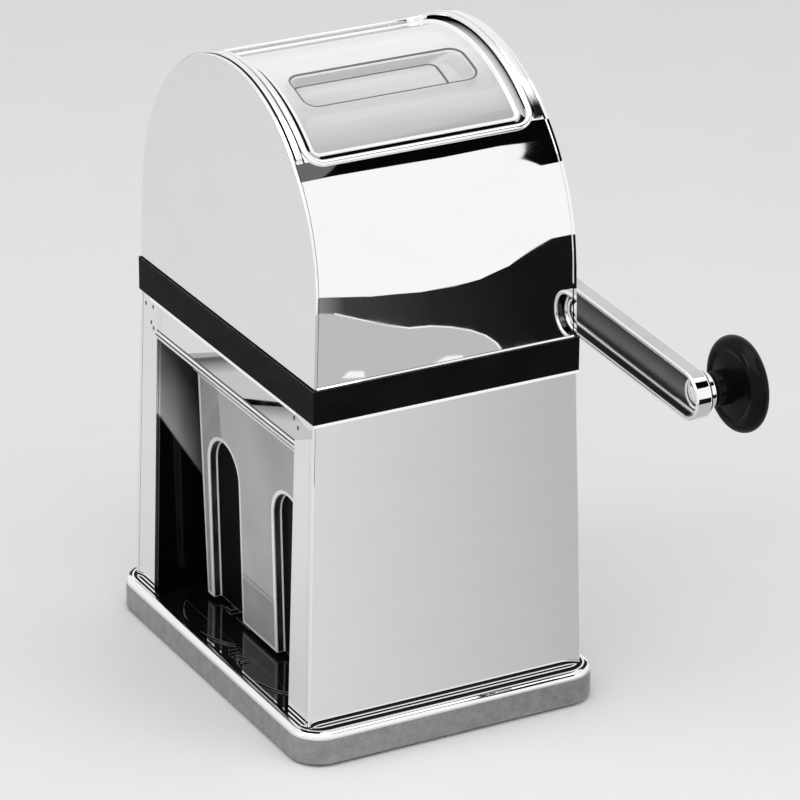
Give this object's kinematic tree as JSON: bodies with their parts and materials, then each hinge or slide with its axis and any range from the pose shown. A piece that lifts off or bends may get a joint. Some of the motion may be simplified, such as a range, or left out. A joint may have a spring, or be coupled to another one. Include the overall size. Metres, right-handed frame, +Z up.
{
  "type": "hand cranked ice shaver",
  "caption": "Hand-cranked table-top ice shaver: polished arched housing, clear sliding lid, toothed rotor on a side crank with a knob, smoky pull-out container, bevelled base tray.",
  "frame": {"origin": "on the table under the middle of the base tray, in the plane of the feet's undersides", "axes": "+Z up; +X along the rotor axis towards the crank, so the container draws out towards -X; -Y towards the plain front that the crank arm reaches past at rest"},
  "size_m": [0.1786, 0.2249, 0.2636],
  "materials": {
    "polished_steel": "mirror polished",
    "brushed_stainless": "satin",
    "plain_steel": "plain turned",
    "black_plastic": "glossy moulded",
    "knob_plastic": "glossy turned",
    "clear_plastic": "clear polished",
    "smoky_plastic": "smoky transparent polished",
    "foot_rubber": "matt",
    "bearing_bronze": "plain turned"
  },
  "bodies": {
    "cabinet": {"base_tray": "polished_steel", "floor_pan": "black_plastic", "rubber_feet": "foot_rubber", "foot_screws": "plain_steel", "front_panel": "polished_steel", "rear_panel": "polished_steel", "crank_end_panel": "polished_steel", "bay_frame": "polished_steel", "bay_liner": "black_plastic", "mid_frame": "black_plastic", "left_bush": "bearing_bronze", "right_bush": "bearing_bronze", "discharge_chute": "black_plastic", "dome_shell": "polished_steel", "left_end_plate": "polished_steel", "right_end_plate": "polished_steel", "opening_rim": "polished_steel", "left_side_band": "polished_steel", "right_side_band": "polished_steel", "left_lid_track": "black_plastic", "right_lid_track": "black_plastic", "hopper": "brushed_stainless", "front_comb": "brushed_stainless", "rear_comb": "brushed_stainless", "comb_screws": "plain_steel", "axle_collar": "polished_steel"},
    "crank": {"rotor_shaft": "plain_steel", "cutter_disc_1": "brushed_stainless", "cutter_disc_2": "brushed_stainless", "cutter_disc_3": "brushed_stainless", "cutter_disc_4": "brushed_stainless", "cutter_disc_5": "brushed_stainless", "cutter_disc_6": "brushed_stainless", "rotor_spacer_1": "black_plastic", "rotor_spacer_2": "black_plastic", "rotor_spacer_3": "black_plastic", "rotor_spacer_4": "black_plastic", "rotor_spacer_5": "black_plastic", "left_end_spacer": "black_plastic", "right_end_spacer": "black_plastic", "crank_hub": "polished_steel", "crank_arm": "polished_steel", "crank_screw": "polished_steel", "knob_pin": "polished_steel", "knob_ferrule": "polished_steel"},
    "crank_knob": {"knob": "knob_plastic"},
    "lid": {"lid_panel": "clear_plastic"},
    "drawer": {"container": "smoky_plastic"}
  },
  "joints": [
    {"name": "crank_turn", "type": "hinge", "parent": "cabinet", "child": "crank", "pos_m": [0, 0, 0.149], "axis": [1, 0, 0], "continuous": true},
    {"name": "knob_spin", "type": "hinge", "parent": "crank", "child": "crank_knob", "pos_m": [0.1, -0.11989, 0.14377], "axis": [1, 0, 0], "continuous": true},
    {"name": "lid_slide", "type": "hinge", "parent": "cabinet", "child": "lid", "pos_m": [0, 0, 0.187], "axis": [-1, 0, 0], "range_deg": [0, 56]},
    {"name": "drawer_slide", "type": "slide", "parent": "cabinet", "child": "drawer", "axis": [-1, 0, 0], "range_m": [0, 0.11]}
  ]
}
